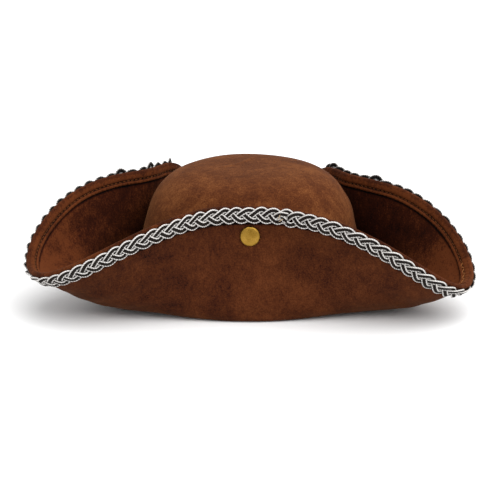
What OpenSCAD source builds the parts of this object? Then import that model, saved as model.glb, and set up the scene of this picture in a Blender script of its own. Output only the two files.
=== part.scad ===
// Three-cornered pirate hat: a round suede-cloth brim turned up on three sides and
// riveted to the crown at the middle of each side. Millimetres, +Z up, the front panel
// faces -Y, and the origin is the centre of the head opening in the plane it rests on.

/* [Crown] */
// Half the crown's outside width at its foot, along X
crown_half_w = 96.5; // [91:0.5:98]
// Half the crown's outside length at its foot, along Y
crown_half_l = 98.5; // [97:0.5:104]
// Height of the crown's outside above the resting plane
crown_h = 107.3; // [100:0.1:120]

/* [Brim] */
// Radius of the brim's edge at the middle of the front panel
front_panel_r = 92.4; // [91:0.2:98]
// Radius of the brim's edge at the middle of each side panel
side_panel_r = 92; // [90:0.5:96]
// Height of the brim's edge at the middle of the front panel
front_panel_h = 97; // [88:0.5:100]
// Height of the brim's edge at the middle of each side panel
side_panel_h = 94.5; // [85:0.5:98]
// Radius of the brim's edge at the two front corners
front_corner_r = 209; // [190:1:220]
// Height of the brim's edge at the two front corners
front_corner_h = 38.5; // [28:0.5:45]
// Radius of the brim's edge at the back corner
back_corner_r = 207; // [190:1:220]
// Height of the brim's edge at the back corner
back_corner_h = 36.5; // [28:0.5:45]
// How much the right side hangs lower, in mm per mm of width
droop = 0.03; // [0:0.005:0.04]

/* [Cloth] */
// Thickness of the suede cloth, on both faces of the brim and outside the crown
cloth_t = 0.9; // [0.7:0.1:1.4]
// Thickness of the stiff felt core between the brim's two cloths
core_t = 1.2; // [1:0.1:2]
// Thickness of the felt that stiffens the crown
crown_felt_t = 1.6; // [1:0.1:2.4]
// Thickness of the crown's lining
lining_t = 0.6; // [0.4:0.1:1]
// Height of the sweatband
band_h = 28; // [20:1:36]

/* [Edge] */
// Width of the binding tape on each face of the brim
tape_w = 9; // [6:0.5:11]
// Diameter of the steel wire in the edge
wire_d = 1.6; // [1:0.1:2]
// Width of the plaited braid
braid_w = 15; // [10:0.5:15.5]
// Thickness of the plaited braid
braid_t = 2.4; // [1.5:0.1:3]

/* [Rivets] */
// Diameter of the brass cap
cap_d = 17; // [14:0.5:18]
// Height of the brass cap over the cloth
cap_h = 2.6; // [2:0.1:4]
// Diameter of the rivet's post
post_d = 3; // [2.5:0.1:4]

/* [Hidden] */

around = 72;                       // sections round the hat
step = 360 / around;
crowding = 7;                      // sections drawn towards the corners, in degrees
foot_w = 4.5;                      // flat ring that the hat rests on, beside the crown
half_t = cloth_t + core_t / 2;     // half the brim's full thickness
ply_end = 0.975;                   // share of the profile where the plies stop
tape_t = 0.7;                      // thickness of the binding tape
gap = 0.06;                        // clearance between faces with different facets
sweat_t = 0.8;                     // thickness of the sweatband
band_gap = 0.5;                    // gap between the sweatband and the lining at its foot
band_draw = 1.5;                   // how far the sweatband's top leans in
band_lift = 1;                     // the sweatband's foot over the resting plane
braid_back = 0.5;                  // the braid's upper side, back from the profile's end
braid_taper = 0.8;                 // share of the braid's thickness left at its two sides

// Crown profile: a superellipse that draws in a little towards the top.
crown_pow_r = 4.2;
crown_pow_z = 3.2;
crown_draw = 0.02;
crown_rows = [0, 0.03, 0.14, 0.27, 0.4, 0.52, 0.63, 0.73, 0.82, 0.9, 0.96];

// Brim edge: how sharply its radius and height change from panel to corner.
front_r_pow = 1.45;
back_r_pow = 1.9;
front_right_h_pow = 4.2;
front_left_h_pow = 3.1;
side_h_pow = 3.75;
back_h_pow = 1.4;
lean_pow = 0.65;
panel_lean = 84;                   // slope of the brim's edge at a panel, in degrees
corner_lean = 34;                  // slope of the brim's edge at a corner
foot_pull = [12, 53];              // reach of the profile's foot, at a panel and a corner
edge_pull = [38, 40];              // reach of the profile's top, at a panel and a corner
brim_rows = [-1, 0, 0.12, 0.24, 0.36, 0.5, 0.64, 0.78, 0.89, ply_end];

rivet_share = 0.79;                // share of the profile where the rivets sit
front_angle = -90;
right_angle = 30;
left_angle = 150;
washer_d = 9;
washer_t = 0.8;
post_head_d = 7;
post_head_t = 1;
hole_depth = 16;                   // reach of the rivet holes in from the brim's outer face
post_reach = 1.4;                  // how far the post stands up into the cap
crown_t = cloth_t + crown_felt_t + lining_t;
// Depth of the washer behind the brim's outer face, where its low side meets the lining.
front_grip = 9.7;
right_grip = 8.8;
left_grip = 10.7;

suede = [0.36, 0.17, 0.09];
felt = [0.22, 0.13, 0.09];
tape = [0.42, 0.21, 0.11];
brass = [0.72, 0.56, 0.22];

// ---- shapes as functions ----

function unit(v) = v / norm(v);
function mix(pair, t) = pair[0] + (pair[1] - pair[0]) * t;

// Angle of section j; the sections lie closer together at the corners.
function turn(j) = j * step - crowding * cos(3 * j * step);

// 0 at the middle of a panel, 1 at a corner.
function cornerness(a) = (1 - sin(3 * a)) / 2;
function on_back(a) = sin(a) > 0.5;
function on_front(a) = sin(a) < -0.5;

function foot_r(a, w = crown_half_w, l = crown_half_l) =
    w * l / sqrt(pow(l * cos(a), 2) + pow(w * sin(a), 2));

function edge_r(a) =
    let (c = cornerness(a), panel = on_front(a) ? front_panel_r : side_panel_r)
    on_back(a)
        ? panel + (back_corner_r - panel) * pow(c, back_r_pow)
        : panel + (front_corner_r - panel) * pow(c, front_r_pow);

function edge_h(a) =
    let (
        c = cornerness(a),
        panel = on_front(a) ? front_panel_h : side_panel_h,
        front_pow = cos(a) < 0 ? front_left_h_pow : front_right_h_pow,
        h_pow = on_front(a) ? front_pow : side_h_pow
    )
    (on_back(a)
        ? panel + (back_corner_h - panel) * pow(c, back_h_pow)
        : panel + (front_corner_h - panel) * pow(c, h_pow))
    - droop * edge_r(a) * cos(a);

function bezier(p, s) =
    pow(1 - s, 3) * p[0] + 3 * s * pow(1 - s, 2) * p[1]
    + 3 * s * s * (1 - s) * p[2] + pow(s, 3) * p[3];

// The brim's middle surface at angle a. s runs from -1 to 0 over the flat foot ring
// and from 0 to 1 up the turned-up profile.
function brim_point(a, s) =
    let (
        c = cornerness(a),
        foot = foot_r(a) + foot_w,
        lean = corner_lean + (panel_lean - corner_lean) * pow(1 - c, lean_pow),
        pull = mix(edge_pull, c),
        r = edge_r(a),
        h = edge_h(a),
        at = s < 0
            ? [foot + s * foot_w, half_t]
            : bezier([
                [foot, half_t],
                [foot + mix(foot_pull, c), half_t],
                [r - pull * cos(lean), h - pull * sin(lean)],
                [r, h]
            ], s)
    )
    [at[0] * cos(a), at[0] * sin(a), at[1]];

// Unit normal of the brim, towards its inner face.
function brim_normal(a, s) =
    s <= 0 ? [0, 0, 1] : unit(cross(
        brim_point(a, min(s + 0.01, 1)) - brim_point(a, s - 0.01),
        brim_point(a + 0.5, s) - brim_point(a - 0.5, s)
    ));

function brim_offset(a, s, d) = brim_point(a, s) + d * brim_normal(a, s);

// The crown's surface, drawn in by d from its outside. t runs from foot to top.
function crown_point(a, t, d) =
    let (
        z = (crown_h - d) * pow(t, 2 / crown_pow_z),
        k = pow(1 - t * t, 1 / crown_pow_r) * (1 - crown_draw * z / crown_h),
        r = foot_r(a, crown_half_w - d, crown_half_l - d) * k
    )
    [r * cos(a), r * sin(a), z];

// ---- solids from those functions ----

function flatten(rows) = [for (row = rows) each row];

// Triangles of a closed grid strip: i runs up the rows, j runs round the hat.
function strip(i0, i1, flip) = [
    for (j = [0 : around - 1])
        let (k = (j + 1) % around, a = i0 * around + j, b = i0 * around + k,
             c = i1 * around + k, d = i1 * around + j)
        each flip ? [[a, c, b], [a, d, c]] : [[a, b, c], [a, c, d]]
];

// A ring whose section is a closed loop of points, one loop for each angle.
module ring_solid(sections) {
    count = len(sections[0]);
    points = [for (i = [0 : count - 1]) for (j = [0 : around - 1]) sections[j][i]];
    faces = [for (i = [0 : count - 1]) each strip(i, (i + 1) % count, false)];
    polyhedron(points, faces, convexity = 8);
}

// A ply of the brim between two distances from its middle surface.
module brim_ply(low, high) {
    n = len(brim_rows);
    rows = concat(
        [for (s = brim_rows) [for (j = [0 : around - 1]) brim_offset(turn(j), s, high)]],
        [for (s = brim_rows) [for (j = [0 : around - 1]) brim_offset(turn(j), s, low)]]
    );
    faces = concat(
        [for (i = [0 : n - 2]) each strip(i, i + 1, false)],
        [for (i = [0 : n - 2]) each strip(n + i, n + i + 1, true)],
        strip(0, n, true),
        strip(n - 1, 2 * n - 1, false)
    );
    difference() {
        polyhedron(flatten(rows), faces, convexity = 8);
        rivet_holes();
    }
}

// A dome of the crown between two distances inside its outer surface.
module crown_dome(outer, inner) {
    n = len(crown_rows);
    top = 2 * n * around;
    rows = concat(
        [for (t = crown_rows) [for (j = [0 : around - 1]) crown_point(turn(j), t, outer)]],
        [for (t = crown_rows) [for (j = [0 : around - 1]) crown_point(turn(j), t, inner)]]
    );
    points = concat(flatten(rows), [[0, 0, crown_h - outer], [0, 0, crown_h - inner]]);
    faces = concat(
        [for (i = [0 : n - 2]) each strip(i, i + 1, true)],
        [for (i = [0 : n - 2]) each strip(n + i, n + i + 1, false)],
        strip(0, n, false),
        [for (j = [0 : around - 1])
            [(n - 1) * around + j, top, (n - 1) * around + (j + 1) % around]],
        [for (j = [0 : around - 1])
            [(2 * n - 1) * around + j, (2 * n - 1) * around + (j + 1) % around, top + 1]]
    );
    difference() {
        polyhedron(points, faces, convexity = 8);
        rivet_holes();
    }
}

// ---- sections of the edge trim ----

// Length of the profile at angle a, for turning millimetres into a share of it.
function profile_length(a) = norm(brim_point(a, 1) - brim_point(a, 0.8)) / 0.2;
function back_from_edge(a, mm) = 1 - mm / profile_length(a);

function tape_section(a) =
    let (
        low = back_from_edge(a, tape_w),
        inside = half_t + gap,
        outside = inside + tape_t,
        nose = brim_point(a, ply_end),
        along = unit(brim_point(a, ply_end) - brim_point(a, 0.9)),
        across = brim_normal(a, 0.95)
    )
    concat(
        [brim_offset(a, low, outside), brim_offset(a, (low + ply_end) / 2, outside)],
        [for (w = [90 : -45 : -90]) nose + outside * (across * sin(w) + along * cos(w))],
        [brim_offset(a, (low + ply_end) / 2, -outside), brim_offset(a, low, -outside)],
        [brim_offset(a, low, -inside), brim_offset(a, (low + ply_end) / 2, -inside)],
        [for (w = [-90 : 60 : 90]) nose + inside * (across * sin(w) + along * cos(w))],
        [brim_offset(a, (low + ply_end) / 2, inside), brim_offset(a, low, inside)]
    );

function wire_section(a) =
    let (
        middle = brim_point(a, ply_end)
            + (wire_d / 2 + gap) * unit(brim_point(a, ply_end) - brim_point(a, 0.9)),
        across = brim_normal(a, 0.95),
        along = unit(brim_point(a, ply_end) - brim_point(a, 0.9))
    )
    [for (w = [360 : -45 : 45]) middle + wire_d / 2 * (across * sin(w) + along * cos(w))];

function braid_section(a) =
    let (
        face = -(half_t + tape_t + 2 * gap),
        side = face - braid_t * braid_taper,
        top = back_from_edge(a, braid_back),
        low = back_from_edge(a, braid_back + braid_w),
        mid = (top + low) / 2
    )
    [
        brim_offset(a, low, face), brim_offset(a, mid, face), brim_offset(a, top, face),
        brim_offset(a, back_from_edge(a, braid_back + 1), side),
        brim_offset(a, mid, face - braid_t),
        brim_offset(a, back_from_edge(a, braid_back + braid_w - 1), side)
    ];

// ---- rivets ----

// Puts its children on the brim's outer face at a panel, with +Z out of the hat.
module at_rivet(a) {
    out = -brim_normal(a, rivet_share);
    translate(brim_offset(a, rivet_share, -half_t))
        rotate([0, acos(out[2]), atan2(out[1], out[0])])
            children();
}

module rivet_holes() {
    for (a = [front_angle, right_angle, left_angle])
        at_rivet(a) translate([0, 0, -hole_depth])
            cylinder(h = hole_depth + cap_h, d = post_d, $fn = 32);
}

module rivet_cap(a) {
    color(brass) at_rivet(a) difference() {
        rotate_extrude($fn = 64) polygon([
            [0, 0], [cap_d / 2 - 0.7, 0], [cap_d / 2 - 0.1, 0.35], [cap_d / 2, 0.9],
            [cap_d / 2 - 0.25, 1.45], [cap_d / 2 - 1, cap_h - 0.7],
            [cap_d / 2 - 2.6, cap_h - 0.3], [cap_d / 4, cap_h - 0.06], [0, cap_h]
        ]);
        translate([0, 0, -1]) cylinder(h = 1 + post_reach, d = post_d, $fn = 32);
    }
}

module rivet_post(a, grip) {
    color(brass) at_rivet(a) {
        translate([0, 0, -grip - washer_t])
            cylinder(h = grip + washer_t + post_reach, d = post_d, $fn = 32);
        translate([0, 0, -grip - washer_t - post_head_t])
            cylinder(h = post_head_t, d = post_head_d, $fn = 48);
    }
}

module rivet_washer(a, grip) {
    color(brass) at_rivet(a) translate([0, 0, -grip - washer_t]) difference() {
        cylinder(h = washer_t, d = washer_d, $fn = 48);
        translate([0, 0, -1]) cylinder(h = washer_t + 2, d = post_d, $fn = 32);
    }
}

// ---- one module for each piece ----

module crown_shell() color(suede) crown_dome(0, cloth_t);
module crown_stiffener() color(felt) crown_dome(cloth_t, cloth_t + crown_felt_t);
module crown_lining() color("black") crown_dome(cloth_t + crown_felt_t, crown_t);

module brim_outer_cloth() color(suede) brim_ply(-half_t, -core_t / 2);
module brim_core() color(felt) brim_ply(-core_t / 2, core_t / 2);
module brim_inner_cloth() color(suede) brim_ply(core_t / 2, half_t);

module sweatband() {
    foot = [crown_half_w - crown_t, crown_half_l - crown_t];
    color("black") ring_solid([for (j = [0 : around - 1]) let (a = turn(j)) [
        for (corner = [[0, 0], [sweat_t, 0], [sweat_t, 1], [0, 1]])
            let (
                draw = band_gap + corner[0] + corner[1] * band_draw,
                r = foot_r(a, foot[0] - draw, foot[1] - draw)
            )
            [r * cos(a), r * sin(a), band_lift + corner[1] * band_h]
    ]]);
}

module edge_wire() color("silver")
    ring_solid([for (j = [0 : around - 1]) wire_section(turn(j))]);

module edge_binding() color(tape)
    ring_solid([for (j = [0 : around - 1]) tape_section(turn(j))]);

module braid_trim() color("gainsboro")
    ring_solid([for (j = [0 : around - 1]) braid_section(turn(j))]);

crown_shell();
crown_stiffener();
crown_lining();
sweatband();
brim_outer_cloth();
brim_core();
brim_inner_cloth();
edge_wire();
edge_binding();
braid_trim();
rivet_cap(front_angle);  // front_rivet_cap
rivet_post(front_angle, front_grip);  // front_rivet_post
rivet_washer(front_angle, front_grip);  // front_rivet_washer
rivet_cap(right_angle);  // right_rivet_cap
rivet_post(right_angle, right_grip);  // right_rivet_post
rivet_washer(right_angle, right_grip);  // right_rivet_washer
rivet_cap(left_angle);  // left_rivet_cap
rivet_post(left_angle, left_grip);  // left_rivet_post
rivet_washer(left_angle, left_grip);  // left_rivet_washer
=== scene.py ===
"""The looks of a three-cornered pirate hat: suede cloth, stitched binding, plaited braid.

Everything is in the CAD's frame: +Z up, the front panel faces -Y, and the origin is the
centre of the head opening. Shapes are worked out in millimetres with the same profiles as
the CAD solids, drawn finely, and become metres when a mesh is made. Angles are in radians
round the hat unless a name ends in _deg or _DEG. Noise scales are per metre.
"""

import math

import bpy
import numpy as np
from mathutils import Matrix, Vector


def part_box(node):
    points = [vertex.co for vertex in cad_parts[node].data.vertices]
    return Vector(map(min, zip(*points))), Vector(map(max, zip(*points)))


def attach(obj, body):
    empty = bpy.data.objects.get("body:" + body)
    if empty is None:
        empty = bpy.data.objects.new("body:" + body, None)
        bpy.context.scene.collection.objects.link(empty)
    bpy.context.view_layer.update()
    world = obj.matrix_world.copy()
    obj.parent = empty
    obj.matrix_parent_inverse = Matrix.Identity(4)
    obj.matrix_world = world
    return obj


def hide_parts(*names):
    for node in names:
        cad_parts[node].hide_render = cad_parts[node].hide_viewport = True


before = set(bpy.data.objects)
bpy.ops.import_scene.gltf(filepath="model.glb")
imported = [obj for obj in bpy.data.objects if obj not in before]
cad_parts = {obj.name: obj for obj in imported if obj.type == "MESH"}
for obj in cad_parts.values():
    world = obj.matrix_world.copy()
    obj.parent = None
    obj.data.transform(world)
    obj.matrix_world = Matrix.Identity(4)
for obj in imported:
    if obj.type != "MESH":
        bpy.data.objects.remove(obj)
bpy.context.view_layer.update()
MM = 0.001
TURN = 2 * math.pi

# ---- driving dimensions, in millimetres and as in the CAD ----

crown_low, crown_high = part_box("crown_shell")
CROWN_HALF_W = (crown_high[0] - crown_low[0]) / 2 / MM
CROWN_HALF_L = (crown_high[1] - crown_low[1]) / 2 / MM
CROWN_H = crown_high[2] / MM
CROWN_POW_R = 4.2
CROWN_POW_Z = 3.2
CROWN_DRAW = 0.02
FOOT_W = 4.5

FRONT_PANEL_R = 92.4
SIDE_PANEL_R = 92.0
FRONT_PANEL_H = 97.0
SIDE_PANEL_H = 94.5
FRONT_CORNER_R = 209.0
FRONT_CORNER_H = 38.5
BACK_CORNER_R = 207.0
BACK_CORNER_H = 36.5
DROOP = 0.03
FRONT_R_POW = 1.45
BACK_R_POW = 1.9
FRONT_RIGHT_H_POW = 4.2
FRONT_LEFT_H_POW = 3.1
SIDE_H_POW = 3.75
BACK_H_POW = 1.4
LEAN_POW = 0.65
PANEL_LEAN_DEG = 84.0
CORNER_LEAN_DEG = 34.0
FOOT_PULL = (12.0, 53.0)
EDGE_PULL = (38.0, 40.0)
PLY_END = 0.975

CLOTH_T = 0.9
CORE_T = 1.2
HALF_T = CLOTH_T + CORE_T / 2
FELT_T = 1.6
LINING_T = 0.6
CROWN_T = CLOTH_T + FELT_T + LINING_T
TAPE_T = 0.7
TAPE_BACK = 9.0
BAND_H = 28.0
BAND_LIFT = 1.0
BAND_DRAW = 1.5
BAND_FLUTTER = 0.15

RIVET_SHARE = 0.79
RIVET_DEG = {"front": -90.0, "right": 30.0, "left": 150.0}
CAP_D = 17.0
CAP_H = 2.6

# ---- shapes as functions of the angle round the hat ----


def mix(pair, share):
    return pair[0] + (pair[1] - pair[0]) * share


def unit(v):
    return v / np.linalg.norm(v, axis=-1, keepdims=True)


def cornerness(a):
    """0 at the middle of a panel, 1 at a corner."""
    return (1 - np.sin(3 * a)) / 2


def smooth_step(x, low, high):
    """Rises smoothly from 0 at low to 1 at high."""
    u = np.clip((x - low) / (high - low), 0, 1)
    return u * u * (3 - 2 * u)


def bell(x, centre, width):
    """1 at the centre, falling away over the width."""
    return np.exp(-(((x - centre) / width) ** 2))


def foot_r(a, half_w=CROWN_HALF_W, half_l=CROWN_HALF_L):
    """Radius of an ellipse: as it stands, the foot of the crown."""
    return half_w * half_l / np.hypot(half_l * np.cos(a), half_w * np.sin(a))


def edge_r(a):
    """Radius of the brim's edge."""
    c = np.clip(cornerness(a), 0, 1)
    panel = np.where(np.sin(a) < -0.5, FRONT_PANEL_R, SIDE_PANEL_R)
    back = panel + (BACK_CORNER_R - panel) * c**BACK_R_POW
    front = panel + (FRONT_CORNER_R - panel) * c**FRONT_R_POW
    return np.where(np.sin(a) > 0.5, back, front)


def edge_h(a):
    """Height of the brim's edge, which droops towards the right."""
    c = np.clip(cornerness(a), 0, 1)
    on_front = np.sin(a) < -0.5
    panel = np.where(on_front, FRONT_PANEL_H, SIDE_PANEL_H)
    front_pow = np.where(np.cos(a) < 0, FRONT_LEFT_H_POW, FRONT_RIGHT_H_POW)
    h_pow = np.where(on_front, front_pow, SIDE_H_POW)
    back = panel + (BACK_CORNER_H - panel) * c**BACK_H_POW
    front = panel + (FRONT_CORNER_H - panel) * c**h_pow
    return np.where(np.sin(a) > 0.5, back, front) - DROOP * edge_r(a) * np.cos(a)


def brim_point(a, s):
    """The brim's middle surface: s is -1..0 over the flat foot and 0..1 up the profile."""
    a, s = np.broadcast_arrays(np.asarray(a, float), np.asarray(s, float))
    c = np.clip(cornerness(a), 0, 1)
    lean = np.radians(CORNER_LEAN_DEG + (PANEL_LEAN_DEG - CORNER_LEAN_DEG) * (1 - c) ** LEAN_POW)
    foot = foot_r(a) + FOOT_W
    pull = mix(EDGE_PULL, c)
    r, h = edge_r(a), edge_h(a)
    u = np.clip(s, 0, 1)
    b0, b1, b2, b3 = (1 - u) ** 3, 3 * u * (1 - u) ** 2, 3 * u * u * (1 - u), u**3
    radius = b0 * foot + b1 * (foot + mix(FOOT_PULL, c)) + b2 * (r - pull * np.cos(lean)) + b3 * r
    radius = radius + np.minimum(s, 0) * FOOT_W
    height = (b0 + b1) * HALF_T + b2 * (h - pull * np.sin(lean)) + b3 * h
    return np.stack([radius * np.cos(a), radius * np.sin(a), height], axis=-1)


def brim_frame(a, s):
    """Unit vectors up the profile, round the hat and towards the inner face."""
    step = 0.004
    s = np.clip(s, step, 1 - step)
    up = unit(brim_point(a, s + step) - brim_point(a, s - step))
    around = unit(brim_point(a + step, s) - brim_point(a - step, s))
    return up, around, unit(np.cross(up, around))


def brim_offset(a, s, d):
    """A point d from the middle surface, towards the inner face where d is positive."""
    a, s, d = np.broadcast_arrays(*(np.asarray(x, float) for x in (a, s, d)))
    return brim_point(a, s) + d[..., None] * brim_frame(a, s)[2]


def profile_scale(a):
    """Millimetres of profile for a whole s, measured near the edge."""
    near = 0.2
    return np.linalg.norm(brim_point(a, 1.0) - brim_point(a, 1 - near), axis=-1) / near


def crown_point(a, t, d):
    """The crown's surface, drawn in by d from its outside: t is 0 at the foot, 1 on top."""
    z = (CROWN_H - d) * t ** (2 / CROWN_POW_Z)
    k = np.clip(1 - t * t, 0, 1) ** (1 / CROWN_POW_R) * (1 - CROWN_DRAW * z / CROWN_H)
    r = foot_r(a, CROWN_HALF_W - d, CROWN_HALF_L - d) * k
    return np.stack([r * np.cos(a), r * np.sin(a), z * np.ones_like(r)], axis=-1)


def path_run(path):
    """Distance along a path to each of its points."""
    return np.r_[0, np.cumsum(np.linalg.norm(np.diff(path, axis=0), axis=1))]


def waves(x, y, seed, terms=9, low=1.0, high=4.0):
    """Soft random waves of about +-1 over two coordinates, the same on every run."""
    rng = np.random.default_rng(seed)
    total = 0
    for _ in range(terms):
        fx, fy = rng.uniform(low, high, 2) * rng.choice([-1, 1], 2)
        total = total + np.sin(np.round(fx) * x + fy * y + rng.uniform(0, TURN))
    return total / math.sqrt(terms)


# ---- meshes ----


def grid_faces(rows, cols, close_rows=False, close_cols=True):
    """Four-sided faces of a grid of points, which may close on itself either way."""
    i = np.arange(rows if close_rows else rows - 1)[:, None]
    j = np.arange(cols if close_cols else cols - 1)[None, :]
    i2, j2 = (i + 1) % rows, (j + 1) % cols
    corners = [i * cols + j, i * cols + j2, i2 * cols + j2, i2 * cols + j]
    return np.stack([c.ravel() for c in np.broadcast_arrays(*corners)], axis=1)


def make_piece(name, points, faces, material, slot, nodes=(), painted_light_and_wear=None, uv=None, sharp_deg=50):
    """A mesh object from points in millimetres, riding on the hat's one body."""
    mesh = bpy.data.meshes.new(name)
    mesh.from_pydata((np.asarray(points) * MM).tolist(), [], [list(f) for f in faces])
    mesh.materials.append(material)
    mesh.shade_smooth()
    mesh.set_sharp_from_angle(angle=math.radians(sharp_deg))
    # The per-point attribute holds painted highlights and painted shade, with some wear, which the
    # materials add to their tone.
    if painted_light_and_wear is not None:
        layer = mesh.attributes.new("painted_light_and_wear", "FLOAT", "POINT")
        layer.data.foreach_set("value", np.asarray(painted_light_and_wear, np.float32).ravel())
    if uv is not None:
        loops = np.empty(len(mesh.loops), int)
        mesh.loops.foreach_get("vertex_index", loops)
        layer = mesh.uv_layers.new(name="UVMap")
        layer.data.foreach_set("uv", np.asarray(uv, np.float32)[loops].ravel())
    piece = bpy.data.objects.new(name, mesh)
    bpy.context.collection.objects.link(piece)
    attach(piece, "root")
    if nodes:
        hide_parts(*nodes)
    return piece


def ring_piece(name, rows, *args, **more):
    """A closed ring: rows is (points of the section, columns round the hat, xyz)."""
    count, cols = rows.shape[:2]
    faces = grid_faces(count, cols, close_rows=True)
    return make_piece(name, rows.reshape(-1, 3), faces, *args, **more)


# ---- materials ----


class Shader:
    """A node material under construction, with a Principled surface.

    Its noises lie in the object's own coordinates, in metres.
    """

    def __init__(self, name):
        self.material = bpy.data.materials.new(name)
        self.material.use_nodes = True
        self.tree = self.material.node_tree
        self.surface = self.tree.nodes["Principled BSDF"]
        self.place = self.tree.nodes.new("ShaderNodeTexCoord").outputs["Object"]

    def node(self, kind, inputs=(), **settings):
        made = self.tree.nodes.new(kind)
        for key, value in settings.items():
            setattr(made, key, value)
        for key, value in dict(inputs).items():
            if isinstance(value, bpy.types.NodeSocket):
                self.tree.links.new(value, made.inputs[key])
            else:
                made.inputs[key].default_value = value
        return made

    def noise(self, scale, detail=3.0, roughness=0.55, distortion=0.0, place=None):
        inputs = {
            "Vector": place or self.place,
            "Scale": scale,
            "Detail": detail,
            "Roughness": roughness,
            "Distortion": distortion,
        }
        return self.node("ShaderNodeTexNoise", inputs).outputs["Fac"]

    def math(self, operation, a, b=0.0, clamp=False):
        made = self.node("ShaderNodeMath", {0: a, 1: b}, operation=operation, use_clamp=clamp)
        return made.outputs[0]

    def spread(self, value, low, high):
        """Stretches low..high of a value over 0..1."""
        inputs = {"Value": value, "From Min": low, "From Max": high}
        return self.node("ShaderNodeMapRange", inputs).outputs["Result"]

    def ramp(self, value, stops):
        made = self.node("ShaderNodeValToRGB", {"Fac": value})
        marks = made.color_ramp.elements
        while len(marks) < len(stops):
            marks.new(0.5)
        for mark, (at, colour) in zip(marks, stops):
            mark.position = at
            mark.color = (*colour, 1)
        return made.outputs["Color"]

    def attribute(self, name):
        return self.node("ShaderNodeAttribute", attribute_name=name).outputs["Fac"]

    def finish(self, colour, roughness, bumps=(), **fixed):
        """Wires the surface. bumps is (height, strength, distance in metres) each."""
        for key, value in (("Base Color", colour), ("Roughness", roughness)):
            if isinstance(value, bpy.types.NodeSocket):
                self.tree.links.new(value, self.surface.inputs[key])
            else:
                self.surface.inputs[key].default_value = value
        normal = None
        for height, strength, distance in bumps:
            inputs = {"Height": height, "Strength": strength, "Distance": distance}
            if normal is not None:
                inputs["Normal"] = normal
            normal = self.node("ShaderNodeBump", inputs).outputs["Normal"]
        if normal is not None:
            self.tree.links.new(normal, self.surface.inputs["Normal"])
        for key, value in fixed.items():
            self.surface.inputs[key.replace("_", " ")].default_value = value
        return self.material


def suede(name, dark, middle, light, nap=1.0):
    """Brushed suede cloth: cloudy patches, streaks of laid nap and a fine grain."""
    s = Shader(name)
    clouds = s.noise(24, 3, 0.55, 0.6)
    patches = s.noise(70, 4, 0.6, 0.4)
    streaks = s.node("ShaderNodeMapping", {"Vector": s.place, "Scale": (1, 1, 0.5)})
    laid = s.noise(330, 3, 0.6, 0.3, streaks.outputs["Vector"])
    grain = s.noise(900, 2, 0.7)
    fibre = s.noise(2600, 2, 0.6)
    tone = s.math("MULTIPLY", clouds, 0.28)
    for value, share in ((patches, 0.19), (laid, 0.18), (grain, 0.35)):
        tone = s.math("ADD", tone, s.math("MULTIPLY", value, share))
    tone = s.spread(tone, 0.33, 0.65)
    # Painted highlights and painted shade from the mesh's attribute shift the tone; the near-black first
    # stop is there for the painted shadows.
    tone = s.math("ADD", tone, s.math("SUBTRACT", s.attribute("painted_light_and_wear"), 0.5), clamp=True)
    shade = tuple(0.12 * x for x in dark)
    colour = s.ramp(tone, ((0.0, shade), (0.18, dark), (0.5, middle), (0.9, light)))
    height = s.math("ADD", s.math("MULTIPLY", laid, 0.5), s.math("MULTIPLY", grain, 0.5))
    return s.finish(
        colour,
        0.92,
        ((height, 0.35 * nap, 0.0006), (fibre, 0.3 * nap, 0.0002)),
        Specular_IOR_Level=0.1,
        Sheen_Weight=0.08,
        Sheen_Roughness=0.4,
        Sheen_Tint=(0.9, 0.45, 0.2, 1),
    )


def woven(name, dark, light, pitch, rib=False):
    """A plain weave, or a ribbed band whose ribs run up and down."""
    s = Shader(name)
    parts = s.node("ShaderNodeSeparateXYZ", {"Vector": s.place}).outputs
    turn = s.math("ARCTAN2", parts["Y"], parts["X"])
    opening_r = 0.09
    warp = s.math("SINE", s.math("MULTIPLY", turn, opening_r * TURN / pitch))
    weft = s.math("SINE", s.math("MULTIPLY", parts["Z"], TURN / (pitch * (2.5 if rib else 1))))
    weave = warp if rib else s.math("MULTIPLY", warp, weft)
    soft = s.noise(60, 3)
    tone = s.math("ADD", s.math("MULTIPLY", weave, 0.22), soft)
    colour = s.ramp(s.spread(tone, 0.2, 0.8), ((0.0, dark), (1.0, light)))
    return s.finish(
        colour,
        0.7,
        ((weave, 0.5, 0.0003), (s.noise(1500, 2), 0.3, 0.0001)),
        Specular_IOR_Level=0.3,
        Sheen_Weight=0.15,
    )


def felt(name, dark, light):
    """Matted fibres with no weave."""
    s = Shader(name)
    fibres = s.noise(900, 5, 0.75, 1.5)
    colour = s.ramp(s.spread(fibres, 0.3, 0.7), ((0.0, dark), (1.0, light)))
    return s.finish(colour, 0.95, ((fibres, 0.7, 0.0004),), Sheen_Weight=0.2)


def twisted(name, dark, light, roughness, pitch, specular):
    """Twisted cord: u is metres along the cord and v goes once round it."""
    s = Shader(name)
    uv = s.node("ShaderNodeUVMap", uv_map="UVMap").outputs["UV"]
    parts = s.node("ShaderNodeSeparateXYZ", {"Vector": uv}).outputs
    run = s.math("MULTIPLY", parts["X"], TURN / pitch)
    strands = s.math("SINE", s.math("ADD", run, s.math("MULTIPLY", parts["Y"], 2 * TURN)))
    tone = s.math("ADD", s.math("MULTIPLY", strands, 0.5), 0.5)
    speck = s.noise(1400, 2, 0.6)
    tone = s.math("ADD", s.math("MULTIPLY", tone, 0.55), s.math("MULTIPLY", speck, 0.6), clamp=True)
    # Painted shade from the mesh's attribute darkens the tone.
    tone = s.math("ADD", tone, s.math("SUBTRACT", s.attribute("painted_light_and_wear"), 0.5), clamp=True)
    colour = s.ramp(tone, ((0.12, dark), (0.62, light)))
    return s.finish(
        colour,
        roughness,
        ((strands, 0.6, 0.0003), (speck, 0.3, 0.0002)),
        Specular_IOR_Level=specular,
    )


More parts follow.
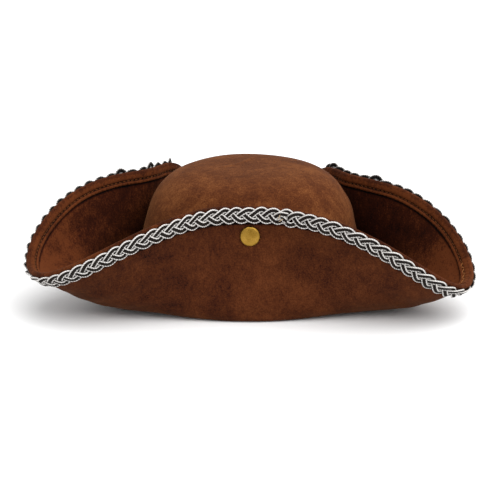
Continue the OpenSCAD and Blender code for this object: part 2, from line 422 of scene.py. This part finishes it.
def satin_brass(name):
    """Brass with a fine mottle and a little tarnish."""
    s = Shader(name)
    mottle = s.noise(1800, 4, 0.65)
    tarnish = s.noise(160, 3, 0.6, 0.5)
    tone = s.math("ADD", s.math("MULTIPLY", mottle, 0.5), s.math("MULTIPLY", tarnish, 0.5))
    stops = ((0.0, (0.22, 0.12, 0.015)), (1.0, (0.40, 0.23, 0.042)))
    colour = s.ramp(s.spread(tone, 0.35, 0.65), stops)
    roughness = s.spread(mottle, 0.0, 1.4)
    return s.finish(colour, roughness, ((mottle, 0.35, 0.0002),), Metallic=1.0)


def drawn_steel(name):
    """Bright wire with fine scratches."""
    s = Shader(name)
    scratch = s.noise(700, 3, 0.6)
    colour = s.ramp(scratch, ((0.3, (0.35, 0.35, 0.36)), (0.7, (0.62, 0.62, 0.62))))
    return s.finish(colour, s.spread(scratch, -0.3, 1.4), ((scratch, 0.2, 0.0001),), Metallic=1.0)


CROWN_SUEDE = suede("crown_suede", (0.041, 0.009, 0.002), (0.083, 0.022, 0.005), (0.165, 0.055, 0.015))
OUTER_SUEDE = suede("outer_suede", (0.027, 0.005, 0.0015), (0.056, 0.0135, 0.0033), (0.105, 0.029, 0.008))
# The inner face is the same brim suede as the outer, drawn darker as painted shade for the inside of the
# brim; its lighter top stop takes the painted light in the corners.
INNER_SUEDE_SHADED = suede("inner_suede_shaded", (0.012, 0.0015, 0.0002), (0.033, 0.0052, 0.0009), (0.112, 0.028, 0.007))
TAPE_SUEDE = suede(
    "tape_suede", (0.015, 0.0024, 0.0005), (0.040, 0.0083, 0.0017), (0.108, 0.027, 0.0062), nap=0.6
)
FELT = felt("stiff_felt", (0.03, 0.012, 0.006), (0.09, 0.045, 0.025))
LINING = woven("lining_cloth", (0.008, 0.007, 0.006), (0.035, 0.031, 0.028), 0.0009)
RIBBED = woven("ribbed_band", (0.006, 0.005, 0.005), (0.030, 0.026, 0.023), 0.0011, rib=True)
SILVER_CORD = twisted("silver_cord", (0.12, 0.11, 0.105), (0.72, 0.69, 0.66), 0.35, 0.0021, 0.5)
BLACK_CORD = twisted("black_cord", (0.001, 0.001, 0.001), (0.014, 0.010, 0.008), 0.6, 0.0021, 0.08)
THREAD = twisted("sewing_thread", (0.10, 0.03, 0.006), (0.42, 0.15, 0.035), 0.6, 0.0010, 0.2)
# The groove's thread is the sewing thread at about half its colour, as painted shade for the groove.
SHADED_THREAD = twisted("shaded_thread", (0.05, 0.013, 0.003), (0.20, 0.065, 0.015), 0.6, 0.0010, 0.1)
PALE_THREAD = twisted("pale_thread", (0.20, 0.13, 0.07), (0.55, 0.42, 0.28), 0.6, 0.0010, 0.2)
BRASS = satin_brass("satin_brass")
STEEL = drawn_steel("drawn_steel")

# ---- the crown ----

# Columns of points round the hat, on the plies that show and on those that don't.
CLOTH_COLS = 576
HIDDEN_COLS = 288
# The crease on top of the crown follows this path in plan.
crease_path = np.array([[9.0, 40.0], [-2.0, 20.0], [-13.0, 3.0], [-32.0, -9.0]])
CREASE_W = 1.7
CREASE_H = 0.45
CREASE_HIGHLIGHT = 0.15
HOLLOW_H = 0.4


def crown_rows(count):
    """Values of t whose rows lie evenly far apart, ending just short of the pole."""
    dense = 1 - (1 - np.linspace(0, 0.999, 4000)) ** 6
    run = path_run(crown_point(0.0, dense, 0.0))
    return np.interp(np.linspace(0, run[-1], count), run, dense)


def near_path(x, y, path):
    """Distance in plan from the nearest point of a path, and the share along it."""
    best = np.full(np.shape(x), np.inf)
    along = np.zeros(np.shape(x))
    for i, (p, q) in enumerate(zip(path[:-1], path[1:])):
        d = q - p
        share = np.clip(((x - p[0]) * d[0] + (y - p[1]) * d[1]) / (d @ d), 0, 1)
        gap = np.hypot(x - p[0] - share * d[0], y - p[1] - share * d[1])
        along = np.where(gap < best, (i + share) / (len(path) - 1), along)
        best = np.minimum(gap, best)
    return best, along


def crown_relief(a, t, point):
    """Height of the cloth over the felt, and the share of it that is the crease on top."""
    still = np.clip(t * 4, 0, 1) * np.clip((1 - t) * 8, 0, 1)
    soft = HOLLOW_H * waves(a, 5 * t, 11, low=1, high=5) * still
    gap, along = near_path(point[..., 0], point[..., 1], crease_path)
    crease = bell(gap, 0, CREASE_W) * np.sin(np.pi * np.clip(along, 0, 1)) ** 0.6 * (t > 0.8)
    return soft + CREASE_H * crease, crease


def dome_piece(name, outer, inner, rows, cols, material, slot, node, relief=False):
    """One ply of the crown, between two depths below its outside."""
    t = crown_rows(rows)[:, None]
    a = np.linspace(0, TURN, cols, endpoint=False)[None, :]
    shown = crown_point(a, t, outer)
    painted_light_and_wear = np.full(shown.shape[:2], 0.5)
    if relief:
        height, crease = crown_relief(a, t, shown)
        shown = crown_point(a, t, outer - height)
        # Painted highlight along the crease on top.
        painted_light_and_wear = painted_light_and_wear + CREASE_HIGHLIGHT * crease
    hidden = crown_point(a, t, inner)
    count = rows * cols
    top = 2 * count
    faces = list(grid_faces(rows, cols)) + list(grid_faces(rows, cols)[:, ::-1] + count)
    ring = np.arange(cols)
    after = (ring + 1) % cols
    faces += list(np.stack([after, ring, ring + count, after + count], axis=1))
    last = (rows - 1) * cols
    faces += [[last + j, last + k, top] for j, k in zip(ring, after)]
    faces += [[count + last + k, count + last + j, top + 1] for j, k in zip(ring, after)]
    poles = [[0, 0, CROWN_H - outer], [0, 0, CROWN_H - inner]]
    points = np.vstack([shown.reshape(-1, 3), hidden.reshape(-1, 3), poles])
    painted_light_and_wear = np.r_[painted_light_and_wear.ravel(), np.full(count + 2, 0.5)]
    return make_piece(name, points, faces, material, slot, [node], painted_light_and_wear)


dome_piece("crown_cloth", 0.0, CLOTH_T, 120, CLOTH_COLS, CROWN_SUEDE, "crown_suede", "crown_shell", True)
dome_piece("crown_felt", CLOTH_T, CLOTH_T + FELT_T, 40, HIDDEN_COLS, FELT, "felt", "crown_stiffener")
dome_piece("crown_inside", CLOTH_T + FELT_T, CROWN_T, 60, HIDDEN_COLS, LINING, "lining", "crown_lining")


def band_rows(draw, height):
    """One ring of points of the band, which leans and flutters inwards towards its top."""
    a = np.linspace(0, TURN, CLOTH_COLS, endpoint=False)
    flutter = BAND_FLUTTER * (1 + waves(a, 0, 5, low=3, high=9)) * height
    inset = CROWN_T + draw + BAND_DRAW * height + flutter
    r = foot_r(a, CROWN_HALF_W - inset, CROWN_HALF_L - inset)
    z = BAND_LIFT + height * BAND_H
    return np.stack([r * np.cos(a), r * np.sin(a), np.full_like(a, z)], axis=-1)


# The band's section: (distance in from the lining, share of the band's height).
band_section = [(0.55, 0.005), (0.5, 0.02), (0.5, 0.5), (0.5, 0.98), (0.6, 1.0), (1.2, 1.0)]
band_section += [(1.3, 0.98), (1.3, 0.5), (1.3, 0.06), (1.42, 0.03), (1.3, 0.0), (0.9, -0.01)]
ring_piece(
    "ribbed_sweatband",
    np.stack([band_rows(draw, height) for draw, height in band_section]),
    RIBBED,
    "sweatband",
    ["sweatband"],
)

# ---- the brim ----


def rivet_place(name):
    """Point on the brim's outer face at a rivet, and the way out of the hat."""
    a = math.radians(RIVET_DEG[name])
    return brim_offset(a, RIVET_SHARE, -HALF_T), -brim_frame(a, RIVET_SHARE)[2]


FOLD_H = 0.35
# The outer cloth dimples round the rim of each rivet's cap.
DIMPLE_H = 0.4
DIMPLE_W = 1.8


def brim_relief(a, s, seed):
    """Soft folds of the cloth, still where it is held at the foot and the edge."""
    loose = smooth_step(s, 0.03, 0.2) * (1 - smooth_step(s, 0.78, 0.9))
    return FOLD_H * loose * waves(a, 6 * s, seed, low=2, high=7)


def brim_cloth(name, face, back, seed, rows, cols, material, slot, node, tone=None):
    """One ply of the brim between two depths; a seed of 0 leaves it without folds."""
    s = np.r_[-1.0, -0.5, np.linspace(0, PLY_END, rows)][:, None]
    a = np.linspace(0, TURN, cols, endpoint=False)[None, :]
    relief = brim_relief(a, s, seed) if seed else np.zeros((len(s), cols))
    shown = brim_offset(a, s, face + relief)
    if face < 0:
        for rivet in RIVET_DEG:
            gap = np.linalg.norm(shown - rivet_place(rivet)[0], axis=-1)
            relief = relief + DIMPLE_H * bell(gap, CAP_D / 2, DIMPLE_W)
        shown = brim_offset(a, s, face + relief)
    hidden = brim_offset(a, s, back + relief)[::-1]
    painted_light_and_wear = np.full(shown.shape[:2], 0.5) if tone is None else tone(a, s)
    painted_light_and_wear = np.concatenate([painted_light_and_wear, painted_light_and_wear[::-1]])
    return ring_piece(name, np.concatenate([shown, hidden]), material, slot, [node], painted_light_and_wear)


def from_edge(a, s):
    """Millimetres down the profile from the plies' end."""
    return (PLY_END - s) * profile_scale(a)


def inner_tone(a, s):
    """Painted light in the corners, painted shade on the right side and painted light on the left, and
    painted shadow in the crevice under the tape's edge.
    """
    lit_corners = smooth_step(cornerness(a), 0.6, 0.95) * smooth_step(s, 0.35, 0.62)
    wall_shade = np.where(np.sin(a) > -0.25, 0.08 * np.cos(a), 0)
    back = from_edge(a, s)
    tape_shadow = 1 - smooth_step(back, TAPE_BACK + 0.3, TAPE_BACK + 2.5)
    return 0.46 - wall_shade + 0.42 * lit_corners - 0.6 * tape_shadow


def outer_tone(a, s):
    """Painted shade on the outer cloth towards its left and, less, its right, and painted shadow under the
    braid and just below it.
    """
    low = braid_centre(a) + BRAID_HALF
    side_shade = 0.18 * np.clip(-np.cos(a), 0, 1) + 0.06 * np.clip(np.cos(a), 0, 1)
    return 0.5 - side_shade - 0.7 * (1 - smooth_step(from_edge(a, s), low + 0.2, low + 2.4))


# The braid's middle runs this far back from the edge in front, and nearer it behind;
# it also runs high round one place on the front right.
BRAID_BACK = 5.0
BRAID_BACK_BEHIND = 3.9
HIGH_DEG = -62.0
HIGH_SPREAD_DEG = 22.0
HIGH_RISE = 1.8


def braid_centre(a):
    """How far the braid's middle lies back from the plies' end."""
    off = np.degrees(np.angle(np.exp(1j * (a - math.radians(HIGH_DEG)))))
    back = BRAID_BACK + (BRAID_BACK_BEHIND - BRAID_BACK) * smooth_step(np.sin(a), -0.4, 0.0)
    return back - HIGH_RISE * bell(off, 0, HIGH_SPREAD_DEG)


# Each strand swings this far from the braid's middle, and its two silver cords run this
# far out on either side of the black one.
SWING = 5.1
CORD_OUT = 1.8
SILVER_R = 0.6
BRAID_HALF = SWING + CORD_OUT + SILVER_R

brim_cloth(
    "outer_cloth", -HALF_T, -CORE_T / 2, 23, 160, CLOTH_COLS,
    OUTER_SUEDE, "brim_suede", "brim_outer_cloth", outer_tone,
)
brim_cloth(
    "inner_cloth", HALF_T, CORE_T / 2, 31, 160, CLOTH_COLS,
    INNER_SUEDE_SHADED, "brim_suede", "brim_inner_cloth", inner_tone,
)
brim_cloth("stiff_core", -CORE_T / 2, CORE_T / 2, 0, 40, HIDDEN_COLS, FELT, "felt", "brim_core")

# ---- the binding tape ----

around_fine = np.linspace(0, TURN, 6000, endpoint=False)
edge_line = brim_point(around_fine, PLY_END)
edge_step = np.linalg.norm(np.roll(edge_line, -1, axis=0) - edge_line, axis=1)
EDGE_LENGTH = edge_step.sum()
edge_run = np.r_[0, np.cumsum(edge_step)]


def angle_at(run):
    """The angle at a distance along the brim's edge, from the angle zero."""
    laps = np.floor(np.asarray(run) / EDGE_LENGTH)
    turn = np.interp(run - laps * EDGE_LENGTH, edge_run, np.r_[around_fine, TURN])
    return turn + laps * TURN


def run_at(angle_deg):
    """Distance along the brim's edge to an angle."""
    return np.interp(math.radians(angle_deg % 360), np.r_[around_fine, TURN], edge_run)


def edge_point(a, back, d):
    """A point back from the plies' end, or past it where back is negative."""
    s = PLY_END - np.maximum(back, 0) / profile_scale(a)
    up, _, inward = brim_frame(a, s)
    return brim_point(a, s) + np.maximum(-back, 0)[..., None] * up + d[..., None] * inward


STITCH = 4.2
STITCHES = round(EDGE_LENGTH / STITCH)
GROOVE = 5.3
TAPE_GAP = 0.04
PUCKER_SLANT = 0.55
PUCKER_H = 0.13
TAPE_WAVE = 0.12
TAPE_WANDER = 0.25
# The tape's section, from its inner edge over the nose to its outer edge and back inside.
# Each point is (distance back from the plies' end, height over the ply's face).
tape_inner = [
    (TAPE_BACK - 0.3, 0.3), (TAPE_BACK - 0.2, 0.8), (TAPE_BACK - 0.7, 1.2), (7.6, 1.4), (6.6, 1.2),
    (5.9, 0.7), (GROOVE, 0.15), (4.7, 0.7), (3.8, 1.1), (2.2, 1.2), (0.3, 0.9),
]
tape_outer = [
    (0.0, 0.75), (3.0, TAPE_T), (TAPE_BACK - 0.2, TAPE_T), (TAPE_BACK, 0.35), (TAPE_BACK, TAPE_GAP),
]
NOSE_R = HALF_T + 0.78
nose = [(-NOSE_R * math.cos(w), NOSE_R * math.sin(w)) for w in np.radians(range(70, -71, -20))]
tape_section = [(back, HALF_T + d) for back, d in tape_inner] + nose
tape_section += [(back, -HALF_T - d) for back, d in tape_outer]
tape_section += [(4.0, -HALF_T - TAPE_GAP), (0.0, -HALF_T - TAPE_GAP), (-0.9 * HALF_T, 0.0)]
tape_section += [(0.0, HALF_T + TAPE_GAP), (4.0, HALF_T + TAPE_GAP)]


def cut_corners(section):
    """Rounds a closed section by cutting each corner at a quarter of its sides."""
    p = np.asarray(section, float)
    q = np.roll(p, -1, axis=0)
    return np.stack([0.75 * p + 0.25 * q, 0.25 * p + 0.75 * q], axis=1).reshape(-1, 2)


def tape_grid(run, section, lift=0.0):
    """The tape's surface at distances along the edge, puckered at every stitch."""
    a = angle_at(run)[None, :]
    back, d = section[:, 0][:, None], section[:, 1][:, None]
    shown = smooth_step(d, HALF_T + 0.2, HALF_T + 0.9)
    slant = np.abs(back - GROOVE) * PUCKER_SLANT
    pucker = np.cos(TURN * run[None, :] / (EDGE_LENGTH / STITCHES) + slant)
    uneven = waves(a, 0.0, 41, low=9, high=30)
    height = shown * (PUCKER_H * pucker + TAPE_WAVE * uneven) + np.sign(d) * lift
    return edge_point(a, back + TAPE_WANDER * uneven * shown, d + height)


# The tape is lighter on its crests, partly rubbed nap and partly painted highlight, with painted shade in
# the groove and on its outer face, which darkens the gaps of the braid.
tape_ring = cut_corners(tape_section)
tape_runs = np.linspace(0, EDGE_LENGTH, 1800, endpoint=False)
tape_light_and_wear = 0.5 + 0.28 * smooth_step(tape_ring[:, 1], HALF_T + 0.6, HALF_T + 1.2)
# The lap keeps the crests' highlight and is lighter all over, without the painted shade.
plain_light_and_wear = 0.12 + tape_light_and_wear
tape_light_and_wear -= 0.6 * bell(tape_ring[:, 0], GROOVE, 0.6) * (tape_ring[:, 1] > 0)
tape_light_and_wear -= 0.6 * smooth_step(tape_ring[:, 0], 0.5, 2.0) * (tape_ring[:, 1] < 0)
ring_piece(
    "edge_tape",
    tape_grid(tape_runs, tape_ring),
    TAPE_SUEDE,
    "binding",
    ["edge_binding"],
    np.repeat(tape_light_and_wear[:, None], len(tape_runs), axis=1),
)


def open_strip(name, rows, material, slot, painted_light_and_wear):
    """A closed section swept along an open run, with its two ends closed."""
    count, cols = rows.shape[:2]
    faces = list(grid_faces(count, cols, close_rows=True, close_cols=False))
    faces += [[i * cols for i in range(count)], [i * cols + cols - 1 for i in reversed(range(count))]]
    return make_piece(name, rows.reshape(-1, 3), faces, material, slot, painted_light_and_wear=painted_light_and_wear)


# The tape's two ends lap over each other inside the right corner.
LAP_DEG = -24.8
LAP_LENGTH = 40.0
LAP_LIFT = 0.5
lap_middle = run_at(LAP_DEG)
lap_runs = np.linspace(lap_middle - LAP_LENGTH / 2, lap_middle + LAP_LENGTH / 2, 60)
lap_rows = tape_grid(lap_runs, tape_ring, LAP_LIFT)
lap_light_and_wear = np.repeat(plain_light_and_wear[:, None], len(lap_runs), axis=1)
open_strip("tape_lap", lap_rows, TAPE_SUEDE, "binding", lap_light_and_wear)


def capsules(name, centres, ways, across, length, thick, material, slot):
    """Short rounded stitches, all in one mesh: each lies along its way."""
    rings, sides = 7, 8
    bend = np.linspace(0.04, np.pi - 0.04, rings)
    turn = np.linspace(0, TURN, sides, endpoint=False)
    along = -np.cos(bend)[:, None] * np.ones(sides) * length / 2
    blunt = (np.sin(bend) ** 0.6)[:, None]
    width = blunt * np.cos(turn) * thick / 2
    rise = blunt * np.sin(turn) * thick / 2
    side = np.cross(ways, across)
    points = (
        centres[:, None, None, :]
        + along[..., None] * ways[:, None, None, :]
        + width[..., None] * side[:, None, None, :]
        + rise[..., None] * across[:, None, None, :]
    )
    faces = grid_faces(rings, sides)
    ends = [list(range(sides))[::-1], list(range((rings - 1) * sides, rings * sides))]
    all_faces = []
    for i in range(len(centres)):
        base = i * rings * sides
        all_faces += [list(f + base) for f in faces]
        all_faces += [[v + base for v in end] for end in ends]
    uv = np.stack(np.broadcast_arrays(along * MM, (turn / TURN)[None, :]), axis=-1)
    uv = np.tile(uv.reshape(-1, 2), (len(centres), 1))
    painted_light_and_wear = np.full(len(centres) * rings * sides, 0.5)
    return make_piece(name, points.reshape(-1, 3), all_faces, material, slot, painted_light_and_wear=painted_light_and_wear, uv=uv)


def stitches(name, runs, backs, lift, slant, length, thick, material=THREAD, slot="binding"):
    """Stitches on the brim; lift is from its middle surface, towards the inner face."""
    a = angle_at(runs)
    centres = edge_point(a, backs, lift)
    up, around, inward = brim_frame(a, PLY_END - backs / profile_scale(a))
    ways = unit(around * np.cos(slant)[:, None] + up * np.sin(slant)[:, None])
    return capsules(name, centres, ways, inward, length, thick, material, slot)


# Each kind of stitch has its own length and thickness.
GROOVE_STITCH = (3.0, 0.6)
LAP_STITCH = (5.0, 0.9)
TIE_STITCH = (5.0, 0.8)

groove_runs = (np.arange(STITCHES) + 0.5) * EDGE_LENGTH / STITCHES
groove_runs = groove_runs[np.abs(groove_runs - lap_middle) > LAP_LENGTH / 2]
rng = np.random.default_rng(3)
tilt = rng.normal(0.0, 0.12, len(groove_runs))
# The stitches stand prouder on the side wall beside the lap.
past_lap = groove_runs - lap_middle - LAP_LENGTH / 2
proud = 0.35 + 0.75 * bell(past_lap, 0, 30) * (past_lap > 0)
groove_back = np.full_like(groove_runs, GROOVE)
groove_lift = HALF_T + proud
# The groove stitches take the darker copy of the thread: painted shade in the groove.
stitches("groove_stitches", groove_runs, groove_back, groove_lift, tilt, *GROOVE_STITCH, SHADED_THREAD)

# Those of the lap are bolder, and slant to and fro.
lap_stitch_runs = lap_middle + np.arange(-16.0, 18.0, 4.0)
lap_slant = 0.7 * np.cos(np.pi * np.arange(len(lap_stitch_runs)))
lap_back = np.full_like(lap_stitch_runs, GROOVE)
lap_lift = np.full_like(lap_stitch_runs, HALF_T + 1.25)
stitches("lap_stitches", lap_stitch_runs, lap_back, lap_lift, lap_slant, *LAP_STITCH)

# ---- the plaited braid ----

# Three strands plait: one lobe shows on each side of the braid every LOBE, near enough.
# Strands rise this much over each other, and a black cord is wider than it is thick.
LOBE = 11.2
RISE = 1.0
BLACK_HALF = (1.25, 0.75)
CORD_RINGS = 1720
SPLICE_DEG = -74.0
# The braid starts this far before its splice and ends this far past it.
SPLICE_START = 4.0
SPLICE_END = 6.0
# Its start bulges this far past the splice.
BULGE_RUN = 7.0
SPLICE_LIFT = 1.4
LOOP_HALF = 7.5
# Loose loops that stand proud of the edge: angle in degrees and extra reach.
PROUD_LOOPS = ((172, 2.2), (154, 2.8), (134, 3.0), (47, 2.2), (36, 2.6), (8, 2.6))

plaits = round(EDGE_LENGTH / LOBE / 3)
plait_length = EDGE_LENGTH / plaits
plait_rate = TURN / plait_length
splice_run = run_at(SPLICE_DEG)


def unevenness(run, seed):
    """Soft random waves along the braid."""
    return waves(run / EDGE_LENGTH * TURN, 0.0, seed, low=8, high=40)


def run_gap(run, centre):
    """Signed distance along the edge from a place on it, the short way round."""
    return (run - centre + EDGE_LENGTH / 2) % EDGE_LENGTH - EDGE_LENGTH / 2


def nearest_lobe(angle_deg):
    """Distance along the edge of the upper lobe nearest to an angle."""
    lobe = plait_length / 3
    first = plait_length / 4
    return first + round((run_at(angle_deg) - first) / lobe) * lobe


def lying_over(past):
    """1 where the braid's end lies over its start, at a distance past the splice."""
    return smooth_step(past, EDGE_LENGTH - SPLICE_END, EDGE_LENGTH + SPLICE_END)


def strand_across(run, strand, phase):
    """How far a strand swings across the braid: more behind, less where the ends lap."""
    past = run - splice_run
    under = 1 - smooth_step(past, -SPLICE_START, SPLICE_START)
    behind = smooth_step(np.sin(run / EDGE_LENGTH * TURN), -0.4, 0.0)
    swing = SWING * (1 + 0.05 * unevenness(run, 70 + strand)) * (1 + 0.1 * behind)
    swing = swing * (1 - 0.3 * under) * (1 - 0.45 * lying_over(past))
    across = swing * (1 + 0.2 * bell(past, BULGE_RUN, 5)) * np.sin(phase)
    for angle_deg, reach in PROUD_LOOPS:
        near = np.exp(-((run_gap(run, nearest_lobe(angle_deg)) / LOOP_HALF) ** 4))
        across = across + reach * near * np.clip(np.sin(phase), 0, 1) ** 0.7
    return across


def strand_rise(run, strand, phase):
    """How high a strand rises as it passes over and under, and over the splice."""
    past = run - splice_run
    rise = RISE * np.sin(2 * phase) + 0.12 * unevenness(run, 50 + strand)
    return rise + SPLICE_LIFT * lying_over(past) + 0.5 * bell(past, BULGE_RUN, 6)


def plait_path(run, strand, side):
    """One cord of one strand: side is -1, 0 or 1 across the strand."""
    phase = plait_rate * run + strand * TURN / 3 + 0.1 * unevenness(run, 60)
    across = strand_across(run, strand, phase)
    slope = np.gradient(across, run)
    lean = np.hypot(1, slope)
    along = run - side * CORD_OUT * slope / lean
    across = across + side * CORD_OUT / lean
    a = angle_at(along)
    back = braid_centre(a) - across
    depth = HALF_T + TAPE_T + 0.1 + SILVER_R + RISE + strand_rise(run, strand, phase)
    s = np.clip(PLY_END - back / profile_scale(a), 0, 1)
    return edge_point(a, back, -depth), -brim_frame(a, s)[2]


def cord_tube(path, out, half_w, half_t, sides=12):
    """A cord round a path: points, faces and a uv that follows the cord."""
    way = unit(np.gradient(path, axis=0))
    side = unit(np.cross(way, out))
    out = np.cross(side, way)
    turn = np.linspace(0, TURN, sides + 1)
    wide = half_w * np.cos(turn)[None, :, None] * side[:, None]
    high = half_t * np.sin(turn)[None, :, None] * out[:, None]
    run = path_run(path) * MM
    uv = np.stack(np.broadcast_arrays(run[:, None], (turn / TURN)[None, :]), axis=-1)
    return path[:, None] + (wide + high), grid_faces(len(path), sides + 1, close_cols=False), uv


def braid_piece(name, sides, half_w, half_t, material, nodes, shade):
    """The cords of one colour in all three strands, as one mesh."""
    points, faces, uvs, cord_tones_and_shade, base = [], [], [], [], 0
    runs = splice_run + np.linspace(-SPLICE_START, EDGE_LENGTH + SPLICE_END, CORD_RINGS)
    for strand in range(3):
        for side in sides:
            p, f, uv = cord_tube(*plait_path(runs, strand, side), half_w, half_t)
            points.append(p.reshape(-1, 3))
            faces.append(f + base)
            uvs.append(uv.reshape(-1, 2))
            around = np.linspace(0, TURN, p.shape[1])
            # Painted shade: a cord is dark on the side next to the black one, and underneath.
            valley_shade = 0.7 * np.clip(side * np.cos(around), 0, 1) ** 1.5
            underside_shade = 0.5 * np.clip(-np.sin(around), 0, 1)
            tone = 0.55 + shade * (side + strand - 1) - valley_shade - underside_shade
            cord_tones_and_shade.append(np.tile(tone, p.shape[0]))
            base += p.shape[0] * p.shape[1]
    points, faces, cord_tones_and_shade, uvs = np.vstack(points), np.vstack(faces), np.hstack(cord_tones_and_shade), np.vstack(uvs)
    return make_piece(name, points, faces, material, "braid", nodes, cord_tones_and_shade, uvs, sharp_deg=180)


braid_piece("silver_cords", (-1, 1), SILVER_R, SILVER_R, SILVER_CORD, ["braid_trim"], 0.04)
braid_piece("black_cords", (0,), *BLACK_HALF, BLACK_CORD, [], 0.0)

# Two pale threads tie the braid's ends down where they lap.
tie_runs = splice_run + np.array([-1.2, 0.6])
tie_backs = braid_centre(angle_at(tie_runs)) + np.array([-1.0, 2.0])
tie_lift = np.full(2, -(HALF_T + TAPE_T + 2 * RISE + 2 * SILVER_R + 1.6))
tie_slant = np.array([1.2, 0.7])
stitches("splice_ties", tie_runs, tie_backs, tie_lift, tie_slant, *TIE_STITCH, PALE_THREAD, "braid")

# ---- the rivets ----

# A cap's profile from its top, over the rolled rim to its flat back: (share of the
# radius, height from the top).
cap_profile = [
    (0.0, 0.0), (0.2, -0.01), (0.4, -0.05), (0.59, -0.14), (0.72, -0.26), (0.82, -0.42), (0.9, -0.72),
    (0.955, -1.15), (0.985, -1.6), (1.0, -2.05), (0.985, -2.4), (0.95, -2.65), (0.88, -2.9), (0.0, -3.0),
]
cap_profile = np.array(cap_profile) * (CAP_D / 2, 1.0) + (0.0, CAP_H)


def rivet_cap(name):
    """The domed cap of one rivet, turned from its profile."""
    place, out = rivet_place(name)
    side = unit(np.cross(out, [0.0, 0.0, 1.0]))
    up = np.cross(side, out)
    turn = np.linspace(0, TURN, 96, endpoint=False)
    r, z = cap_profile[:, 0][:, None], cap_profile[:, 1][:, None]
    r = np.maximum(r, 0.01)
    spokes = np.cos(turn)[:, None] * side + np.sin(turn)[:, None] * up
    points = place + (r[..., None] * spokes + z[..., None] * out)
    faces = grid_faces(*points.shape[:2])
    nodes = [f"{name}_rivet_cap"]
    return make_piece(f"{name}_cap", points.reshape(-1, 3), faces, BRASS, "brass", nodes, sharp_deg=60)


for side_name in RIVET_DEG:
    rivet_cap(side_name)
    for part in ("post", "washer"):
        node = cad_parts[f"{side_name}_rivet_{part}"]
        for holder in node.material_slots:
            holder.material = BRASS
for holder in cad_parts["edge_wire"].material_slots:
    holder.material = STEEL

# ---- floor, light and camera ----

floor_shader = Shader("pale_floor")
speckle = floor_shader.noise(3, 2)
floor_tone = floor_shader.ramp(speckle, ((0.3, (0.88, 0.88, 0.88)), (0.7, (0.9, 0.9, 0.9))))
floor_shader.finish(floor_tone, 0.9, Specular_IOR_Level=0.1)
bpy.ops.mesh.primitive_plane_add(size=30, location=(0, 0, -0.0002))
floor = bpy.context.object
floor.name = "floor"
floor.data.materials.append(floor_shader.material)

world = bpy.data.worlds.new("studio")
bpy.context.scene.world = world
world.use_nodes = True
world.node_tree.nodes["Background"].inputs["Color"].default_value = (1.0, 1.0, 1.0, 1)
world.node_tree.nodes["Background"].inputs["Strength"].default_value = 0.85


def soft_sun(name, toward, strength, spread_deg):
    """A soft light from far off, shining from the direction toward."""
    light = bpy.data.lights.new(name, "SUN")
    light.energy = strength
    light.angle = math.radians(spread_deg)
    lamp = bpy.data.objects.new(name, light)
    lamp.rotation_euler = Vector(toward).to_track_quat("Z", "Y").to_euler()
    bpy.context.collection.objects.link(lamp)


soft_sun("key", (0.45, -0.3, 1.1), 2.9, 80)
bpy.context.scene.view_settings.view_transform = "Standard"

ELEVATION = math.radians(18)
DISTANCE = 1.7
LENS = 138.3
AIM_RISE = 0.0292
camera = bpy.data.objects.new("camera", bpy.data.cameras.new("camera"))
camera.data.lens = LENS
camera.data.sensor_width = 36
camera.location = (0, -DISTANCE * math.cos(ELEVATION), DISTANCE * math.sin(ELEVATION))
aim = Vector((0, math.sin(ELEVATION), math.cos(ELEVATION))) * AIM_RISE
camera.rotation_euler = (aim - camera.location).to_track_quat("-Z", "Y").to_euler()
bpy.context.collection.objects.link(camera)
bpy.context.scene.camera = camera
